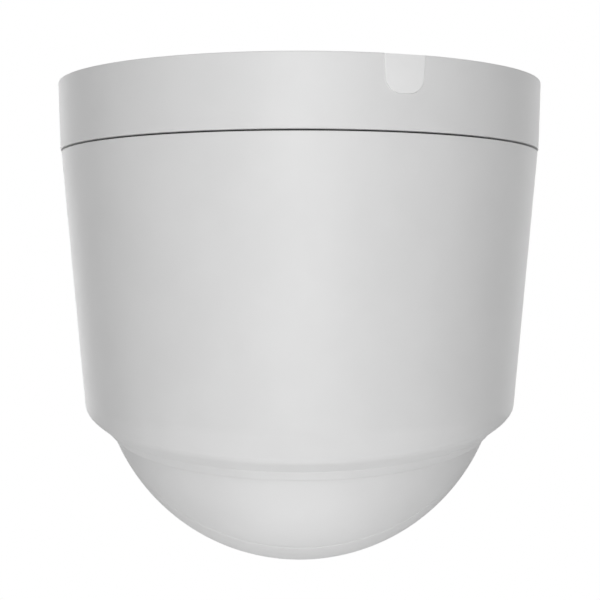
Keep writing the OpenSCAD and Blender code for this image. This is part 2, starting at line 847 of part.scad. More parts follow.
module tilt_axle_right() mirror([1, 0, 0]) tilt_axle();

module tilt_fixed_gear() color(nylon) {
    at_ball() difference() {
        union() {
            translate([tilt_gear_in, 0, 0]) rotate([rest_tilt, 0, 0]) rotate([0, 90, 0]) rotate([0, 0, 90])
                gear(tilt_module, tilt_gear_teeth, tilt_gear_w);
            rod_x_to(tilt_gear_in, arm_in, axle_r + 3);
        }
        rod_x_to(tilt_gear_in - cut, arm_in + cut, axle_r);
    }
}

module tilt_bush() color(brass_metal) tilted() difference() {
    union() {
        rod_x_to(side_plate_in, side_plate_out, bush_r);
        rod_x_to(side_plate_out, side_plate_out + bush_flange_t, bush_flange_r);
    }
    rod_x_to(side_plate_in - cut, side_plate_out + 3, axle_r + running);
}

module tilt_bush_left() tilt_bush();

module tilt_bush_right() mirror([1, 0, 0]) tilt_bush();

module tilt_motor() color(steel) {
    tilted() translate([0, tilt_centres, 0]) difference() {
        rod_x_to(side_plate_in - tilt_motor_l, side_plate_in, tilt_motor_r);
        rod_x_to(side_plate_in - tilt_motor_l + 2, side_plate_in + cut, motor_shaft_r + running);
    }
}

module tilt_pinion() color(brass_metal) {
    tilted() translate([0, tilt_centres, 0]) {
        translate([tilt_gear_in + 0.2, 0, 0]) rotate([0, 90, 0]) rotate([0, 0, -90 + 180 / tilt_pinion_teeth])
            gear(tilt_module, tilt_pinion_teeth, tilt_gear_w - 0.4);
        rod_x_to(side_plate_in - tilt_motor_l + 3, tilt_gear_in + 1, motor_shaft_r);
    }
}

/* Ball */

// One half of the ball's shell: side is 1 for the back and -1 for the front
module half_shell(side) {
    difference() {
        sphere(r = ball_r);
        sphere(r = ball_inner_r);
        translate([-100, side > 0 ? -199.95 : -0.05, -100]) cube([200, 200, 200]);
        rod_x_to(-80, 80, side_hole_r);
    }
}

// The four places that mirror one place to the corners of a rectangle
module four_places(place) {
    for (sx = [-1, 1], sz = [-1, 1]) translate([sx * place.x, 0, sz * place.y]) children();
}

module ball_rear_shell() color(white_plastic) tilted() {
    difference() {
        union() {
            half_shell(1);
            intersection() {
                four_places(rear_boss) rod_front(-60, frame_back, ball_boss_r);
                sphere(r = ball_r - 1);
            }
        }
        rod_front(-80, 0, back_hole_r);
        four_places(rear_boss) rod_front(0, frame_back + cut, screw_r);
    }
}

module ball_front_shell() color(white_plastic) tilted() {
    difference() {
        union() {
            half_shell(-1);
            intersection() {
                four_places(front_boss) rod_front(frame_front, 60, ball_boss_r);
                sphere(r = ball_r - 1);
            }
        }
        rod_front(20, 80, face_r);
        four_places(front_boss) rod_front(frame_front - cut, frame_front + 8, screw_r);
    }
}

module ball_chassis() color(cast_metal) tilted() {
    difference() {
        union() {
            block_front(frame_back, frame_front, side_plate_out, -front_boss.y - 3, front_boss.y + 3);
            block_front(frame_back, frame_front, rear_boss.x + 4, -rear_boss.y - 4, rear_boss.y + 4);
            for (side = [-1, 1])
                translate([side > 0 ? side_plate_in : -side_plate_out, 0, 0]) {
                    rotate([0, 90, 0]) cylinder(h = side_plate_t, r = 22);
                    translate([0, -frame_front, -22]) cube([side_plate_t, frame_front, 44]);
                }
        }
        rod_front(frame_back - cut, frame_front + cut, barrel_r + 0.2);
        rod_x_to(-80, 80, bush_r);
        translate([0, tilt_centres, 0]) rod_x_to(0, 80, 2.5);
        four_places(front_boss) rod_front(frame_back - cut, frame_front + cut, screw_r);
        four_places(rear_boss) rod_front(frame_back - cut, frame_front + cut, screw_r);
    }
}

module ball_screws() color(steel) tilted() {
    four_places(front_boss) translate([0, -frame_back, 0]) rotate([90, 0, 0]) screw_up(8);
    four_places(rear_boss) translate([0, -frame_front, 0]) rotate([-90, 0, 0]) screw_up(8);
}

module face_bezel() color(black_plastic) tilted() {
    tube_front(bezel_flange_front, window_back, window_r, window_r - 2.6);
    tube_front(bezel_flange_back, bezel_flange_front, bezel_flange_r, window_r - 2.6);
}

module face_window() color(dark_glass) tilted() rod_front(window_back, window_front, window_r);

module lamp_board() color(board_green) tilted() {
    tube_front(lamp_board_back, bezel_flange_back, window_r - 1, barrel_r + 2.5);
}

module infrared_lamps() color(dark_glass) tilted() {
    for (i = [0:lamps_n - 1])
        rotate([0, (i + 0.5) * 360 / lamps_n, 0]) translate([lamp_circle_r, 0, 0]) {
            rod_front(bezel_flange_back, bezel_flange_back + 1.4, lamp_r);
            translate([0, -bezel_flange_back - 1.4, 0]) intersection() {
                sphere(r = lamp_r - 0.2);
                translate([-4, -8, -4]) cube([8, 8, 8]);
            }
        }
}

module light_baffle() color(rubber_black) tilted() {
    tube_front(lamp_board_back, window_back, barrel_r + 1.8, barrel_r + 0.3);
}

/* Lens, drawn about its axis in front of and behind the tilt axis */

module lens_barrel() color(black_plastic) tilted() {
    difference() {
        union() {
            rod_front(barrel_back, barrel_front, barrel_r);
            rod_front(frame_back - 2, frame_back, barrel_r + flange_w);
            block_front(barrel_back, barrel_back + 2, back_plate_half, -back_plate_half, back_plate_half);
            four_places([sensor_posts, sensor_posts])
                rod_front(barrel_back - sensor_gap, barrel_back, 2);
        }
        rod_front(barrel_back + 2, lens_seat - 1, barrel_inner_r);
        rod_front(lens_seat, barrel_front + cut, barrel_inner_r);
        rod_front(lens_seat - 2, lens_seat + cut, barrel_inner_r - seat_lip_w);
        rod_front(barrel_back - cut, barrel_back + 3, 6);
        for (side = [-1, 1])
            translate([side * rod_x, 0, 0]) rod_front(barrel_back + 1, lens_seat + cut, rod_r);
        arm_slot(zoom_at, zoom_travel, slot_from, barrel_r + 1);
        arm_slot(focus_at, focus_travel, -barrel_r - 1, -slot_from);
    }
}

// Slot in the barrel for a carriage's arm
module arm_slot(at, travel, low_z, high_z) {
    block_front(at - travel - slot_over, at + travel + slot_over, arm_slot_half_w, low_z, high_z);
}

module front_lens() color(lens_glass) tilted() {
    intersection() {
        rod_front(lens_seat, lens_seat + lens_edge_t + lens_sag + cut, lens_glass_r);
        translate([0, lens_radius - lens_seat - lens_edge_t - lens_sag, 0]) sphere(r = lens_radius);
    }
}

module lens_retaining_ring() color(black_plastic) tilted() {
    tube_front(lens_seat + lens_edge_t + 0.8, barrel_front, barrel_inner_r, barrel_inner_r - 1.6);
}

module guide_rods() color(steel) tilted() {
    for (side = [-1, 1])
        translate([side * rod_x, 0, 0]) rod_front(barrel_back + 1, lens_seat - 0.2, rod_r);
}

// Lens group on the guide rods, with an arm through the barrel's slot towards +Z
module carriage(at, length) {
    difference() {
        union() {
            tube_front(at - length / 2, at + length / 2, carriage_r, carriage_bore_r);
            intersection() {
                rod_front(at - length / 2, at + length / 2, carriage_bore_r + 0.5);
                translate([0, element_offset - at, 0]) sphere(r = element_r);
                translate([0, -element_offset - at, 0]) sphere(r = element_r);
            }
            block_front(at - arm_half_w, at + arm_half_w, arm_half_w, carriage_r - 1.5, carriage_arm_out);
        }
        for (side = [-1, 1])
            translate([side * rod_x, 0, 0])
                rod_front(at - length, at + length, rod_r + rod_running);
    }
}

module zoom_carriage() color(black_plastic) tilted() carriage(zoom_at, zoom_l);

module focus_carriage() color(black_plastic) tilted() rotate([0, 180, 0]) carriage(focus_at, focus_l);

module ir_cut_frame() color(black_plastic) tilted() {
    difference() {
        block_front(barrel_back - 3, barrel_back, 19.5, -9, 9);
        block_front(barrel_back - 2.3, barrel_back - 0.9, 17.6, -6.4, 6.4);
        block_front(barrel_back - 4, barrel_back - 1, 17.6, -4.8, 4.8);
        rod_front(barrel_back - 4, barrel_back + cut, 5);
    }
}

module ir_cut_slider() color(lens_glass) tilted() {
    translate([filter_step, 0, 0]) difference() {
        block_front(barrel_back - 2.2, barrel_back - 1, 12, -6, 6);
        for (side = [-1, 1])
            translate([side * filter_step, 0, 0])
                block_front(barrel_back - 3, barrel_back - 2, 4, -4, 4);
    }
}

module sensor_board() color(board_green) tilted() {
    back = barrel_back - sensor_gap;
    block_front(back - board_t, back, back_plate_half, -back_plate_half, back_plate_half);
    block_front(back, back + 1, 6, -5, 5);
}

module camera_board() color(board_green) tilted() {
    back = barrel_back - sensor_gap - board_t;
    block_front(back - 4.2 - board_t, back - 4.2, 18, -18, 18);
    four_places([sensor_posts, sensor_posts]) rod_front(back - 4.2, back, 1.8);
    block_front(back - 4.2 - board_t - 1.2, back - 4.2 - board_t, 7, -7, 7);
    for (z = [-6:2.4:6])
        block_front(back - 14, back - 4.2 - board_t - 1.2, 7, z - 0.5, z + 0.5);
}

mounting_plate();
ceiling_gasket();
base_ring();
cable_entry_plug();
base_chassis();
base_screws();
main_board();
cable_header();
terminal_block();
power_transformer();
memory_card_slot();
memory_card();
reset_switch();
reset_button();
pan_motor();
pan_pinion();
bearing_outer_race();
bearing_balls();
bearing_inner_race();
bearing_retainer();
pan_hub();
hub_lock_ring();
pan_gear();
slip_ring_stator();
slip_ring_rotor();
slip_ring_lead();
turntable();
seal_ring();
turntable_screws();
driver_board();
pan_housing();
ball_trim_ring();
yoke_arm_left();
yoke_arm_right();
tilt_axle_left();
tilt_axle_right();
tilt_fixed_gear();
tilt_bush_left();
tilt_bush_right();
tilt_motor();
tilt_pinion();
ball_chassis();
ball_rear_shell();
ball_front_shell();
ball_screws();
face_bezel();
face_window();
lamp_board();
infrared_lamps();
light_baffle();
lens_barrel();
front_lens();
lens_retaining_ring();
guide_rods();
zoom_carriage();
focus_carriage();
ir_cut_frame();
ir_cut_slider();
sensor_board();
camera_board();
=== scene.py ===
import math

import bmesh
import bpy
import numpy as np
from mathutils import Matrix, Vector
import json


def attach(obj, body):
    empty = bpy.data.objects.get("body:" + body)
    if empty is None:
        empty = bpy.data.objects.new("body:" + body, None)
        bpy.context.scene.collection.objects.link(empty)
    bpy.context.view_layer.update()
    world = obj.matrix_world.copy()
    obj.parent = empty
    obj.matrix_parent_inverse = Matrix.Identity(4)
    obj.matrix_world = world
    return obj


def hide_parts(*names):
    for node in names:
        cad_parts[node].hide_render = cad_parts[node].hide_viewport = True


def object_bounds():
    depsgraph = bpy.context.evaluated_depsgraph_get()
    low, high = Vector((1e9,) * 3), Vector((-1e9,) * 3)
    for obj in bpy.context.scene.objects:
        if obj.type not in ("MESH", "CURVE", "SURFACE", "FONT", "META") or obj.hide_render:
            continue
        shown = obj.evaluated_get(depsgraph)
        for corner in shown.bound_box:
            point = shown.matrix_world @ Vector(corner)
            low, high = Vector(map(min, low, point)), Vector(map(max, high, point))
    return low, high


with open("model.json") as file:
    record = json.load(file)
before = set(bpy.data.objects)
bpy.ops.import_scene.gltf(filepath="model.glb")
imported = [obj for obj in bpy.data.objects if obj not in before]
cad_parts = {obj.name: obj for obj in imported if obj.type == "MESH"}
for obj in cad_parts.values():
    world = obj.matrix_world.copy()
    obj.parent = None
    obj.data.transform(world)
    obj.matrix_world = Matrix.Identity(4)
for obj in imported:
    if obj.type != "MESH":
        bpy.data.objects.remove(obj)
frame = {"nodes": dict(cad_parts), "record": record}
cad_low, cad_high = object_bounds()
scene = bpy.context.scene

# Dimensions of part.scad, in millimetres

BALL_R = 55.7
BALL_WALL = 2.2
BALL_DEPTH = 76.2
REST_TILT = math.radians(28.5)
FACE_R = 33.0
BACK_HOLE_R = 26.0
SIDE_HOLE_R = 16.5
DRUM_TOP = 19.0
DRUM_WALL = 2.2
DRUM_AXIS_R = 60.8
DRUM_SLOPE = 0.0937
ARCH_R = 35.0
RIM_TILT = math.radians(11.3)
SIDE_R = 61.7
SIDE_LEAN = 0.09
SIDE_BOW = 0.006
SIDE_STRAIGHT_ABOVE = -5.6
SIDE_STRAIGHT_SLOPE = 0.16
FLARE = 0.235
FLARE_FROM = 12.0
TOP_SOFT = 0.3
ARCH_SOFT = 0.4
RIM_R = 55.4
RIM_DEPTH = 15.7
RIM_SEAT_DEPTH = 12.5
LIP_R = 56.1
BAND_END = (52.95, 18.6)
BAND_SLOPE = 1.175
BASE_H = 18.5
BASE_BOTTOM_R = 66.4
BASE_TOP_R = 67.0
BASE_INNER_R = 64.0
ENTRY_ANGLE = math.radians(22.5)
ENTRY_HALF = 5.6
ENTRY_H = 9.6
ENTRY_CORNER = 4.0
ENTRY_TAPER = 0.075
ENTRY_FACE_R = 66.76
PLUG_GAP = 0.03
BOSS_ANGLES = (35, 145, 215, 325)
BOSS_CIRCLE_R = 58.56
BOSS_R = 4.2
BOSS_LOW = -29.4
BOSS_HIGH = -19.4
RIB_HALF = 1.5
RIB_OUT_R = 64.2
LUG_ANGLES = (45, 135, 225, 315)
LUG_IN = 56.0
POST_R = 3.0
WINDOW_FRONT = 44.97
WINDOW_T = 1.6
WINDOW_R = 32.6

MM = 0.001
SHARP = math.radians(35)


# Meshes

class Shell:
    """Collects grids and faces in millimetres, and welds them into one mesh."""

    def __init__(self):
        self.points = []
        self.faces = []

    def grid(self, points):
        """points has the shape rows x columns x 3."""
        rows, columns = points.shape[:2]
        start = len(self.points)
        self.points.extend(points.reshape(-1, 3))
        for i in range(rows - 1):
            for j in range(columns - 1):
                a = start + i * columns + j
                self.faces.append((a, a + 1, a + columns + 1, a + columns))

    def face(self, points):
        start = len(self.points)
        self.points.extend(np.asarray(points, float))
        self.faces.append(tuple(range(start, len(self.points))))

    def object(self, name, place=Matrix.Identity(4)):
        mesh = bpy.data.meshes.new(name)
        mesh.from_pydata((np.array(self.points) * MM).tolist(), [], self.faces)
        made = bmesh.new()
        made.from_mesh(mesh)
        bmesh.ops.remove_doubles(made, verts=made.verts, dist=2e-6)
        bmesh.ops.dissolve_degenerate(made, dist=1e-7, edges=made.edges)
        bmesh.ops.recalc_face_normals(made, faces=made.faces)
        for f in made.faces:
            f.smooth = True
        for e in made.edges:
            e.smooth = len(e.link_faces) != 2 or e.calc_face_angle(0) < SHARP
        made.transform(place)
        made.to_mesh(mesh)
        made.free()
        o = bpy.data.objects.new(name, mesh)
        scene.collection.objects.link(o)
        return o


def lathe(shell, profile, steps=256, start=0.0, end=2 * math.pi):
    """Adds a profile of (radius, z) points, turned about Z."""
    a = np.linspace(start, end, steps + 1)
    r, z = np.array(profile, float).T
    shell.grid(np.stack([
        r[:, None] * np.cos(a), r[:, None] * np.sin(a), np.repeat(z[:, None], len(a), 1)
    ], -1))


def arc(centre, radius, start, end, steps=4):
    """Points of a circle in a profile, with angles in degrees."""
    return [
        (centre[0] + radius * math.cos(a), centre[1] + radius * math.sin(a))
        for a in np.radians(np.linspace(start, end, steps + 1))
    ]


def post(shell, centre, radius, low, high):
    """Adds a closed round post along Z."""
    made = Shell()
    lathe(made, [(0, low), (radius - 0.3, low), (radius, low + 0.3), (radius, high), (0, high)], 32)
    start = len(shell.points)
    shell.points.extend(np.array(made.points) + np.array([centre[0], centre[1], 0]))
    shell.faces.extend(tuple(i + start for i in f) for f in made.faces)


def block(shell, low, high, turn=0.0):
    """Adds a box, turned about Z."""
    c, s = math.cos(turn), math.sin(turn)
    corner = lambda i: [(low, high)[i >> k & 1][k] for k in range(3)]
    points = [corner(i) for i in range(8)]
    points = [(c * x - s * y, s * x + c * y, z) for x, y, z in points]
    for f in ((0, 1, 3, 2), (4, 6, 7, 5), (0, 4, 5, 1), (2, 3, 7, 6), (0, 2, 6, 4), (1, 5, 7, 3)):
        shell.face([points[i] for i in f])


# Drum, in the slanted frame of its rim: angle from the front, radius and depth below the ball's centre

def to_world(angle, radius, depth):
    c, s = math.cos(RIM_TILT), math.sin(RIM_TILT)
    y, z = -radius * np.cos(angle), -depth
    return np.stack(np.broadcast_arrays(
        radius * np.sin(angle), y * c + z * s, -y * s + z * c - BALL_DEPTH), -1)


def to_rim(x, y, z):
    c, s = math.cos(RIM_TILT), math.sin(RIM_TILT)
    height = z + BALL_DEPTH
    back, down = y * c - height * s, -(y * s + height * c)
    return np.arctan2(x, -back), np.hypot(x, back), down


def smooth_min(a, b, width):
    h = np.clip(0.5 + 0.5 * (b - a) / width, 0, 1)
    return b + (a - b) * h - width * h * (1 - h)


def cone_radius(angle, depth, inset=0.0):
    radius = np.full(np.broadcast(angle, depth).shape, DRUM_AXIS_R)
    for _ in range(12):
        x, y, z = np.moveaxis(to_world(angle, radius, depth), -1, 0)
        radius = radius * (DRUM_AXIS_R + DRUM_SLOPE * (z + BALL_DEPTH) - inset) / np.hypot(x, y)
    return radius


def side_radius(angle, depth):
    """The bowl's side: nearly upright at the back and flaring at the front."""
    front = np.clip(np.cos(angle), 0, 1)
    flare = FLARE * front * front * (3 - 2 * front)
    bent = np.maximum(depth, SIDE_STRAIGHT_ABOVE)
    straight = SIDE_STRAIGHT_SLOPE * (bent - depth)
    bowed = SIDE_R - SIDE_LEAN * bent - SIDE_BOW * bent * bent
    return bowed + straight + flare * np.clip(FLARE_FROM - depth, 0, None)


def drum_radius(angle, depth, inset=0.0):
    wall = smooth_min(cone_radius(angle, depth), side_radius(angle, depth), 0.25)
    return smooth_min(wall, RIM_R + BAND_SLOPE * (RIM_DEPTH - depth), 1.1) - inset


def inner_radius(angle, depth):
    return np.minimum(cone_radius(angle, depth, DRUM_WALL), side_radius(angle, depth) - DRUM_WALL)


def depth_at(radius_of, angle, below_ceiling):
    """Depth in the rim's frame of the point of a wall that is this far below the ceiling."""
    depth = np.full(np.shape(angle), -50.0)
    for _ in range(25):
        height = BALL_DEPTH - below_ceiling
        radius = radius_of(angle, depth)
        depth = (math.sin(RIM_TILT) * radius * np.cos(angle) - height) / math.cos(RIM_TILT)
    return depth


def arch_distance(points, offset):
    """Distance outside the arch's outline, seen from the front."""
    x, z = points[..., 0], points[..., 2] + BALL_DEPTH
    return np.where(z > 0, np.hypot(x, z), np.abs(x)) - ARCH_R - offset


def root(f, low, high):
    """Where f turns from negative at low to positive at high."""
    low, high = np.broadcast_arrays(low, high)
    low, high = low.astype(float), high.astype(float)
    for _ in range(46):
        mid = (low + high) / 2
        inside = f(mid) < 0
        low, high = np.where(inside, mid, low), np.where(inside, high, mid)
    return (low + high) / 2


SPLIT = math.radians(33)
AROUND = 220
ACROSS = 48
NEAR_ANGLES = SPLIT * np.sin(np.linspace(-math.pi / 2, math.pi / 2, 2 * ACROSS + 1))
FAR_ANGLES = np.linspace(SPLIT, 2 * math.pi - SPLIT, AROUND + 1)


def wall(shell, radius_of, offset, low_rows, top_rows, rows=44):
    """Adds a drum wall with the arch left out, and returns its points along the arch and the rim."""
    near, far = NEAR_ANGLES, FAR_ANGLES
    split_depth = root(lambda d: -arch_distance(to_world(SPLIT, radius_of(SPLIT, d), d), offset), -60.0, 0.0)
    split_depth = float(split_depth)

    def upper(angle, end):
        starts = [(depth_at(radius_of, angle, DRUM_TOP + down), inset) for down, inset in top_rows]
        last = starts[-1][0]
        steps = np.linspace(0, 1, rows + 1)[1:]
        depths = [d for d, _ in starts] + [last + t * (end - last) for t in steps]
        insets = [i for _, i in starts] + [0.0] * len(steps)
        shell.grid(np.stack([to_world(angle, radius_of(angle, d) - i, d) for d, i in zip(depths, insets)]))

    end = root(lambda d: -arch_distance(to_world(near, radius_of(near, d), d), offset),
               np.full(near.shape, -60.0), np.full(near.shape, 0.0))
    end[0] = end[-1] = split_depth
    upper(near, end)
    upper(far, np.full(far.shape, split_depth))

    lines = []
    for depth, radius in low_rows(split_depth):
        r = (lambda a: np.full(np.shape(a), radius)) if radius else (lambda a: radius_of(a, depth))
        first = float(root(lambda a: arch_distance(to_world(a, r(a), depth), offset), 0.1, 1.5))
        if abs(depth - split_depth) < 1e-9:
            first = SPLIT
        a = first + (far - SPLIT) * (2 * math.pi - 2 * first) / (2 * math.pi - 2 * SPLIT)
        lines.append(to_world(a, r(a), depth))
    lower = np.stack(lines)
    shell.grid(lower)
    arch_top = to_world(near, radius_of(near, end), end)
    return np.concatenate([lower[::-1, -1], arch_top[1:-1], lower[:, 0]]), lower[-1]


def outer_rows(split):
    return [(d, 0) for d in np.concatenate([
        np.linspace(split, 8.0, 61), np.linspace(8.0, 15.2, 37)[1:], [15.4, 15.55, 15.64]])]


def inner_rows(split):
    count = len(outer_rows(split))
    seat = [(6.5, 0), (11.9, LIP_R + 0.6), (12.5, LIP_R + 0.6), (12.5, RIM_R), (15.6, RIM_R)]
    bend = float(inner_radius(math.pi, 6.5))
    upper = [(d, 0) for d in np.linspace(split, 6.5, count - 24)]
    path = []
    for (d0, r0), (d1, r1) in zip(seat[:-1], seat[1:]):
        for t in np.linspace(0, 1, 7)[1:]:
            path.append((d0 + t * (d1 - d0), (r0 or bend) + t * (r1 - (r0 or bend))))
    return upper + path


def front_depth(x, z, inset):
    """Y of the drum's front wall, moved in by inset, at each x and z."""
    def inside(y):
        angle, radius, depth = to_rim(x, y, z)
        return drum_radius(angle, depth, inset) - radius
    return root(inside, np.full(np.shape(x), -80.0), np.full(np.shape(x), -20.0))


def drum():
    shell = Shell()
    soft = ARCH_SOFT
    edge, outer_end = wall(shell, drum_radius, soft, outer_rows,
                           [(0, TOP_SOFT), (0.05, 0.1), (0.15, 0.03), (TOP_SOFT, 0)])
    inner_edge, inner_end = wall(shell, inner_radius, 0.0, inner_rows, [(0, 0), (TOP_SOFT, 0)])
    # Rounded edge along the arch
    x, z = edge[:, 0], edge[:, 2] + BALL_DEPTH
    direction = np.where(z > 0, np.arctan2(x, np.maximum(z, 0)), np.sign(x) * math.pi / 2)
    leg = np.minimum(z, 0)
    strip = [edge]
    for a in np.radians([22.5, 45, 67.5, 90]):
        reach = ARCH_R + soft * (1 - math.sin(a))
        px, pz = reach * np.sin(direction), reach * np.cos(direction) + leg - BALL_DEPTH
        strip.append(np.stack([px, front_depth(px, pz, soft * (1 - math.cos(a))), pz], -1))
    strip.append(inner_edge)
    shell.grid(np.stack(strip))
    shell.grid(np.stack([outer_end, inner_end]))
    # Top edge
    for angle in (NEAR_ANGLES, FAR_ANGLES):
        out_d, in_d = depth_at(drum_radius, angle, DRUM_TOP), depth_at(inner_radius, angle, DRUM_TOP)
        shell.grid(np.stack([
            to_world(angle, drum_radius(angle, out_d) - TOP_SOFT, out_d),
            to_world(angle, inner_radius(angle, in_d), in_d)]))
    for a in np.radians(BOSS_ANGLES):
        centre = (BOSS_CIRCLE_R * math.cos(a), BOSS_CIRCLE_R * math.sin(a))
        post(shell, centre, BOSS_R, BOSS_LOW, BOSS_HIGH)
        block(shell, (BOSS_CIRCLE_R, -RIB_HALF, BOSS_LOW), (RIB_OUT_R, RIB_HALF, BOSS_HIGH), a)
    return shell.object("pan_housing_shell")


def trim_ring():
    """The band round the ball, in the rim's frame, open at the arch."""
    shell = Shell()
    side, turn = 0.12, math.atan2(RIM_R - BAND_END[0], BAND_END[1] - RIM_DEPTH)
    lip = [(math.sqrt(LIP_R ** 2 - d * d), d) for d in np.linspace(BAND_END[1] - 0.1, RIM_SEAT_DEPTH, 8)]
    profile = [(RIM_R, RIM_SEAT_DEPTH), (RIM_R, RIM_DEPTH - side),
               (RIM_R - side * 0.3, RIM_DEPTH), (RIM_R - side * math.sin(turn), RIM_DEPTH + side)]
    for t in np.linspace(0, 1, 7)[1:]:
        r = profile[3][0] + t * (BAND_END[0] + 0.1 - profile[3][0])
        d = profile[3][1] + t * (BAND_END[1] - 0.1 - profile[3][1])
        profile.append((r, d))
    profile += [(BAND_END[0] + 0.03, BAND_END[1] - 0.03)] + lip + [(RIM_R, RIM_SEAT_DEPTH)]
    rows = []
    for radius, depth in profile:
        first = float(root(lambda a: arch_distance(to_world(a, radius, depth), 0.15), 0.1, 1.5))
        a = np.linspace(first, 2 * math.pi - first, 300)
        rows.append(to_world(a, radius, depth))
    rows = np.stack(rows)
    shell.grid(rows)
    shell.face(rows[:-1, 0])
    shell.face(rows[:-1, -1])
    return shell.object("ball_trim_band")


# Ball, in its own frame before the tilt: the lens looks towards -Y

TILTED = Matrix.Translation((0, 0, -BALL_DEPTH * MM)) @ Matrix.Rotation(REST_TILT, 4, "X")


def ball_half(side, hole_r, bosses, boss_from, name):
    """One half of the ball: side is -1 for the front and 1 for the back."""
    shell = Shell()
    notch = math.acos(math.sqrt(1 - (SIDE_HOLE_R / BALL_R) ** 2))
    angles = np.concatenate([
        notch * np.sin(np.linspace(-math.pi / 2, math.pi / 2, 33))[:-1],
        np.linspace(notch, math.pi - notch, 97)[:-1],
        math.pi + notch * np.sin(np.linspace(-math.pi / 2, math.pi / 2, 33))[:-1],
        np.linspace(math.pi + notch, 2 * math.pi - notch, 97)])

    def surface(radius, start, end):
        at_notch = np.abs(np.cos(angles)) > math.cos(notch) - 1e-9
        limit = math.sqrt(1 - (SIDE_HOLE_R / radius) ** 2) / np.maximum(np.abs(np.cos(angles)), 1e-6)
        stop = np.where(at_notch, np.minimum(end, np.arcsin(np.clip(limit, 0, 1))), end)
        rows = []
        for t in np.linspace(0, 1, 61):
            polar = start + t * (stop - start)
            rows.append(np.stack([radius * np.sin(polar) * np.cos(angles),
                                  side * radius * np.cos(polar),
                                  radius * np.sin(polar) * np.sin(angles)], -1))
        return np.stack(rows)

    soft = 0.3
    inner_r = BALL_R - BALL_WALL
    first = math.asin(hole_r / BALL_R)
    seam = math.acos(0.05 / BALL_R)
    outer = surface(BALL_R, first + soft / BALL_R, seam - 0.22 / BALL_R)
    inner = surface(inner_r, math.asin(hole_r / inner_r), seam)
    shell.grid(outer)
    shell.grid(inner)
    rim = [outer[0]]
    for a in np.radians([30, 60, 90]):
        r = hole_r + soft * (1 - math.sin(a))
        y = math.sqrt(BALL_R ** 2 - r * r) - soft * (1 - math.cos(a)) * 0.8
        rim.append(np.stack([r * np.cos(angles), np.full(angles.shape, side * y), r * np.sin(angles)], -1))
    shell.grid(np.stack(rim + [inner[0]]))
    edge = [outer[-1]]
    low = outer[-1]
    for drop, step in ((0.03, 0.45), (0.1, 0.85), (0.22, 1.0)):
        moved = low * (1 - drop / BALL_R)
        flat = np.abs(low[:, 1]) < 1.0
        moved[:, 1] = np.where(flat, side * (0.27 - 0.22 * step), moved[:, 1])
        edge.append(moved)
    shell.grid(np.stack(edge + [inner[-1]]))
    for sx in (-1, 1):
        for sz in (-1, 1):
            x, z = sx * bosses[0], sz * bosses[1]
            reach = side * math.sqrt((BALL_R - 0.8) ** 2 - (math.hypot(x, z) + POST_R) ** 2)
            part = Shell()
            lathe(part, [(0, boss_from), (POST_R - soft, boss_from), (POST_R, boss_from + side * soft),
                         (POST_R, reach), (0, reach)], 32)
            points = np.array(part.points)
            start = len(shell.points)
            shell.points.extend(np.stack([points[:, 0] + x, points[:, 2], points[:, 1] + z], -1))
            shell.faces.extend(tuple(i + start for i in f) for f in part.faces)
    return shell.object(name, TILTED)


# Base ring and the plug in its cable entry

ENTRY_LEG = ENTRY_H - ENTRY_CORNER
ENTRY_FOOT = ENTRY_HALF - ENTRY_TAPER * ENTRY_LEG


def entry_top(across):
    """Depth of the entry's outline below the ceiling at a distance across it."""
    u = np.clip(np.abs(across) - (ENTRY_FOOT - ENTRY_CORNER), 0, ENTRY_CORNER)
    return ENTRY_LEG + np.sqrt(np.maximum(ENTRY_CORNER ** 2 - u * u, 0))


def base_ring():
    shell = Shell()
    middle = math.pi / 2 + ENTRY_ANGLE
    soft = 0.3
    across = np.sin(np.linspace(-math.pi / 2, math.pi / 2, 49))

    def outer(depth):
        return BASE_TOP_R + (BASE_BOTTOM_R - BASE_TOP_R) * depth / BASE_H

    def half_angle(depth):
        """Half of the entry's width at a depth, as an angle."""
        return math.asin((ENTRY_HALF - ENTRY_TAPER * min(depth, ENTRY_LEG)) / ENTRY_FACE_R)

    def beside(depth):
        half = half_angle(depth)
        return np.linspace(middle + half, middle + 2 * math.pi - half, 361)

    def rows(path):
        shell.grid(np.stack([
            np.stack(np.broadcast_arrays(r * np.cos(a), r * np.sin(a), -d), -1) for a, r, d in path]))

    near, far = middle + half_angle(ENTRY_LEG) * across, beside(ENTRY_LEG)
    notch = entry_top(ENTRY_FOOT * across)
    start = BASE_H - soft
    foot = [(BASE_INNER_R, BASE_H), (BASE_BOTTOM_R - soft, BASE_H), (BASE_BOTTOM_R - 0.1, BASE_H - 0.05),
            (BASE_BOTTOM_R - 0.03, BASE_H - 0.15), (outer(start), start)]
    for angle, stop in ((near, notch), (far, np.full(far.shape, ENTRY_LEG))):
        low = [(angle, r, np.full(angle.shape, d)) for r, d in foot]
        for t in np.linspace(0, 1, 13)[1:]:
            depth = start + t * (stop - start)
            low.append((angle, outer(depth), depth))
        rows(low)
        rows([(angle, BASE_INNER_R, BASE_H + t * (stop - BASE_H)) for t in np.linspace(0, 1, 3)])
    rows([(near, outer(notch), notch), (near, BASE_INNER_R, notch)])
    top = [(outer(d), d) for d in np.linspace(ENTRY_LEG, soft, 9)]
    top += [(BASE_TOP_R - 0.03, 0.15), (BASE_TOP_R - 0.1, 0.05), (BASE_TOP_R - soft, 0.0),
            (BASE_INNER_R, 0.0), (BASE_INNER_R, ENTRY_LEG)]
    rows([(beside(d), r, d) for r, d in top])
    for end in (0, -1):
        shell.face([(r * math.cos(beside(d)[end]), r * math.sin(beside(d)[end]), -d) for r, d in top])
    for a in np.radians(LUG_ANGLES):
        block(shell, (LUG_IN, -5, -9), (LUG_IN + 9, 5, -6), a)
    return shell.object("base_ring_shell")


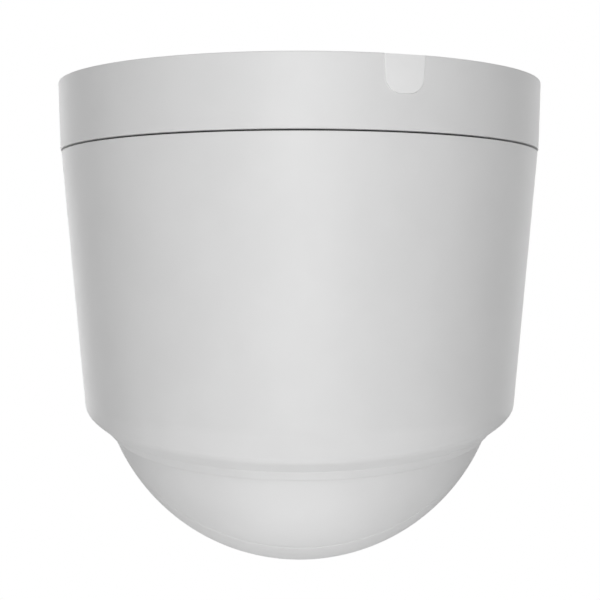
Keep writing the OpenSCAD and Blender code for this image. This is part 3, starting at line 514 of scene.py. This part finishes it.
def entry_outline(shrink, count=12):
    """The plug's outline as (across, height), open at the ceiling."""
    foot, half, corner = ENTRY_FOOT - shrink, ENTRY_HALF - shrink, ENTRY_CORNER - shrink
    left = arc((-foot + corner, -ENTRY_LEG), corner, 180, 270, count)
    right = arc((foot - corner, -ENTRY_LEG), corner, 270, 360, count)
    top = -0.06 - shrink * 0.4
    return [(-half, top)] + left + right + [(half, top)]


def entry_plug():
    shell = Shell()
    proud = ENTRY_FACE_R + 0.12
    rings = np.array([[(x, out, z) for x, z in entry_outline(shrink)] for shrink, out in (
        (PLUG_GAP, ENTRY_FACE_R - 4.3), (PLUG_GAP, proud - 0.16), (PLUG_GAP + 0.02, proud - 0.07),
        (PLUG_GAP + 0.08, proud - 0.015), (PLUG_GAP + 0.18, proud))])
    shell.grid(np.concatenate([rings, rings[:, :1]], 1))
    shell.face(rings[0])
    shell.face(rings[-1])
    turn = Matrix.Rotation(ENTRY_ANGLE, 4, "Z")
    return shell.object("cable_entry_cover", turn)


def window():
    shell = Shell()
    soft = 0.35
    back, front = WINDOW_FRONT - WINDOW_T, WINDOW_FRONT
    lathe(shell, [(0, back), (WINDOW_R - 0.2, back), (WINDOW_R, back + 0.2)]
          + arc((WINDOW_R - soft, front - soft), soft, 0, 90) + [(0, front)], 192)
    return shell.object("face_window_glass", TILTED @ Matrix.Rotation(math.pi / 2, 4, "X"))


# Materials

def principled(name):
    made = bpy.data.materials.new(name)
    made.use_nodes = True
    nodes = made.node_tree.nodes
    return made, nodes, made.node_tree.links, nodes["Principled BSDF"]


def noise(nodes, links, vector, scale, detail=3.0, roughness=0.55):
    node = nodes.new("ShaderNodeTexNoise")
    node.inputs["Scale"].default_value = scale
    node.inputs["Detail"].default_value = detail
    node.inputs["Roughness"].default_value = roughness
    links.new(vector, node.inputs["Vector"])
    return node.outputs["Fac"]


def spread(nodes, links, value, low, high, from_low=0.3, from_high=0.7):
    node = nodes.new("ShaderNodeMapRange")
    for key, number in (("From Min", from_low), ("From Max", from_high), ("To Min", low), ("To Max", high)):
        node.inputs[key].default_value = number
    links.new(value, node.inputs["Value"])
    return node.outputs["Result"]


def finish_of(name, colour, other, rough, grain, relief, patch=60.0, stretch=(1, 1, 1),
              metallic=0.0, **constants):
    """A surface with patchy colour, varied roughness and a fine grain. grain is its size in millimetres."""
    made, nodes, links, shader = principled(name)
    place = nodes.new("ShaderNodeTexCoord").outputs["Object"]
    mapping = nodes.new("ShaderNodeMapping")
    mapping.inputs["Scale"].default_value = stretch
    links.new(place, mapping.inputs["Vector"])
    vector = mapping.outputs["Vector"]
    fine = noise(nodes, links, vector, 1 / (grain * MM), 4.0)
    broad = noise(nodes, links, vector, patch, 2.0)
    ramp = nodes.new("ShaderNodeValToRGB")
    ramp.color_ramp.elements[0].color = (*other, 1)
    ramp.color_ramp.elements[1].color = (*colour, 1)
    ramp.color_ramp.elements[0].position = 0.3
    ramp.color_ramp.elements[1].position = 0.7
    both = nodes.new("ShaderNodeMath")
    both.operation = "MULTIPLY_ADD"
    both.inputs[1].default_value = 0.35
    links.new(fine, both.inputs[0])
    links.new(spread(nodes, links, broad, 0.0, 0.65), both.inputs[2])
    links.new(both.outputs[0], ramp.inputs["Fac"])
    links.new(ramp.outputs["Color"], shader.inputs["Base Color"])
    links.new(spread(nodes, links, fine, rough - 0.06, rough + 0.06), shader.inputs["Roughness"])
    bump = nodes.new("ShaderNodeBump")
    bump.inputs["Strength"].default_value = 0.5
    bump.inputs["Distance"].default_value = relief * MM
    links.new(fine, bump.inputs["Height"])
    links.new(bump.outputs["Normal"], shader.inputs["Normal"])
    shader.inputs["Metallic"].default_value = metallic
    for key, value in constants.items():
        shader.inputs[key.replace("_", " ")].default_value = value
    return made


def board_finish():
    """Green solder mask with tracks that show through in a paler green."""
    made = finish_of("board", (0.03, 0.16, 0.08), (0.02, 0.12, 0.06), 0.35, 0.5, 0.01)
    nodes, links = made.node_tree.nodes, made.node_tree.links
    shader = nodes["Principled BSDF"]
    place = nodes.new("ShaderNodeTexCoord").outputs["Object"]
    tracks = nodes.new("ShaderNodeTexBrick")
    for key, value in (("Scale", 260.0), ("Mortar Size", 0.035), ("Brick Width", 0.9), ("Row Height", 0.3)):
        tracks.inputs[key].default_value = value
    tracks.inputs["Color1"].default_value = (0, 0, 0, 1)
    tracks.inputs["Color2"].default_value = (0, 0, 0, 1)
    tracks.inputs["Mortar"].default_value = (1, 1, 1, 1)
    links.new(place, tracks.inputs["Vector"])
    mix = nodes.new("ShaderNodeMix")
    mix.data_type = "RGBA"
    mix.inputs["B"].default_value = (0.07, 0.27, 0.12, 1)
    old = shader.inputs["Base Color"].links[0].from_socket
    links.new(tracks.outputs["Color"], mix.inputs["Factor"])
    links.new(old, mix.inputs["A"])
    links.new(mix.outputs["Result"], shader.inputs["Base Color"])
    return made


def glass_finish(name, colour, rough, ior, smudge):
    made, nodes, links, shader = principled(name)
    place = nodes.new("ShaderNodeTexCoord").outputs["Object"]
    shader.inputs["Base Color"].default_value = (*colour, 1)
    shader.inputs["Transmission Weight"].default_value = 1.0
    shader.inputs["IOR"].default_value = ior
    film = noise(nodes, links, place, smudge, 3.0)
    links.new(spread(nodes, links, film, rough, rough + 0.02), shader.inputs["Roughness"])
    return made


WHITE = finish_of("white_plastic", (0.80, 0.80, 0.80), (0.785, 0.785, 0.785), 0.48, 0.42, 0.012,
                  Specular_IOR_Level=0.5)
FINISHES = {
    "white_plastic": WHITE,
    "black_plastic": finish_of("black_plastic", (0.022, 0.022, 0.024), (0.016, 0.016, 0.017),
                               0.42, 0.3, 0.006),
    "dark_glass": glass_finish("dark_glass", (0.46, 0.46, 0.48), 0.0, 1.5, 70.0),
    "lens_glass": glass_finish("lens_glass", (0.82, 0.86, 0.98), 0.0, 1.6, 120.0),
    "cast_metal": finish_of("cast_metal", (0.60, 0.61, 0.63), (0.48, 0.49, 0.51), 0.45, 0.35, 0.03,
                            metallic=1.0),
    "steel": finish_of("steel", (0.66, 0.67, 0.68), (0.55, 0.56, 0.58), 0.3, 0.25, 0.008, stretch=(1, 14, 1),
                       metallic=1.0),
    "brass": finish_of("brass", (0.75, 0.57, 0.25), (0.62, 0.44, 0.18), 0.28, 0.2, 0.006, stretch=(1, 1, 10),
                       metallic=1.0),
    "board": board_finish(),
    "rubber": finish_of("rubber", (0.035, 0.035, 0.037), (0.024, 0.024, 0.025), 0.75, 0.25, 0.03),
    "nylon": finish_of("nylon", (0.76, 0.74, 0.67), (0.70, 0.68, 0.60), 0.42, 0.5, 0.01,
                       Subsurface_Weight=0.1),
    "ribbon": finish_of("ribbon", (0.26, 0.26, 0.28), (0.16, 0.16, 0.18), 0.4, 0.4, 0.01, stretch=(8, 1, 1)),
}

NODE_SLOTS = {s["node"]: s["material_slot"] for s in frame["record"]["subparts"]}
for name, node in frame["nodes"].items():
    finish = FINISHES[NODE_SLOTS[name]]
    if not node.material_slots:
        node.data.materials.append(finish)
    for place in node.material_slots:
        place.link = "OBJECT"
        place.material = finish


def place_piece(piece, body, node, finish=None):
    piece.data.materials.append(finish or FINISHES[NODE_SLOTS[node]])
    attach(piece, body)
    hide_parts(node)


place_piece(base_ring(), "base", "base_ring")
# The plug gets a lighter copy of the white plastic: painted light, standing in for the brighter shading of
# its flat face.
place_piece(entry_plug(), "base", "cable_entry_plug",
            finish_of("plug_painted_light_plastic", (0.91, 0.91, 0.91), (0.895, 0.895, 0.895), 0.5, 0.42, 0.012))
place_piece(drum(), "drum", "pan_housing")
place_piece(trim_ring(), "drum", "ball_trim_ring")
place_piece(ball_half(-1, FACE_R, (31, 23), -14, "ball_front_cover"), "ball", "ball_front_shell")
place_piece(ball_half(1, BACK_HOLE_R, (16, 30), -12, "ball_rear_cover"), "ball", "ball_rear_shell")
place_piece(window(), "ball", "face_window")

# Floor, light and camera

FLOOR_Z = -0.6
FLOOR_R = 1.2

floor_shell = Shell()
lathe(floor_shell, [(0, FLOOR_Z / MM), (FLOOR_R / MM, FLOOR_Z / MM), (FLOOR_R / MM, FLOOR_Z / MM - 4),
                    (0, FLOOR_Z / MM - 4)], 128)
floor = floor_shell.object("floor")
floor.data.materials.append(
    finish_of("floor", (0.80, 0.80, 0.80), (0.78, 0.78, 0.78), 0.7, 2.0, 0.05, patch=4.0))

AMBIENT = 0.12
world = bpy.data.worlds.new("studio")
scene.world = world
world.use_nodes = True
nodes, links = world.node_tree.nodes, world.node_tree.links
back = nodes["Background"]
back.inputs["Color"].default_value = (1, 1, 1, 1)
back.inputs["Strength"].default_value = AMBIENT
seen = nodes.new("ShaderNodeBackground")
seen.inputs["Color"].default_value = (1, 1, 1, 1)
seen.inputs["Strength"].default_value = 1.0
rays = nodes.new("ShaderNodeLightPath")
choose = nodes.new("ShaderNodeMixShader")
links.new(rays.outputs["Is Camera Ray"], choose.inputs["Fac"])
links.new(back.outputs["Background"], choose.inputs[1])
links.new(seen.outputs["Background"], choose.inputs[2])
links.new(choose.outputs["Shader"], nodes["World Output"].inputs["Surface"])


def light(name, place, size, power):
    """A soft square light that points at the middle of the object."""
    data = bpy.data.lights.new(name, "AREA")
    data.shape = "SQUARE"
    data.size = size
    data.energy = power
    made = bpy.data.objects.new(name, data)
    scene.collection.objects.link(made)
    made.location = place
    aim = (cad_low + cad_high) / 2 - made.location
    made.rotation_euler = aim.to_track_quat("-Z", "Y").to_euler()
    made.visible_camera = False


light("key", (0.0, 1.5, 0.0), 0.6, 9.3)
light("key_high", (0.0, 1.2, 0.7), 0.6, 4.4)
light("below", (0.0, 0.0, -0.57), 0.3, 0.52)
light("below_front", (0.0, 0.6, -0.5), 0.3, 0.15)
light("below_left", (0.5, 0.3, -0.45), 0.3, 0.22)
light("below_right", (-0.5, 0.3, -0.45), 0.3, 0.12)
light("rear_left", (1.15, -0.95, 0.0), 0.8, 0.9)
light("rear_right", (-1.15, -0.95, 0.0), 0.8, 1.5)
light("far_left", (0.75, -1.3, 0.0), 0.8, 5.8)
light("far_right", (-0.75, -1.3, 0.0), 0.8, 3.8)

lens = bpy.data.cameras.new("camera")
lens.lens = 94.8
lens.sensor_width = 36
lens.shift_x = 0.0008
lens.shift_y = -0.0072
lens.clip_start = 0.01
lens.clip_end = 10
eye = bpy.data.objects.new("camera", lens)
scene.collection.objects.link(eye)
eye.location = (0, 0.444, -0.0585)
eye.rotation_euler = (math.pi / 2, 0, math.pi)
scene.camera = eye
scene.view_settings.view_transform = "Standard"
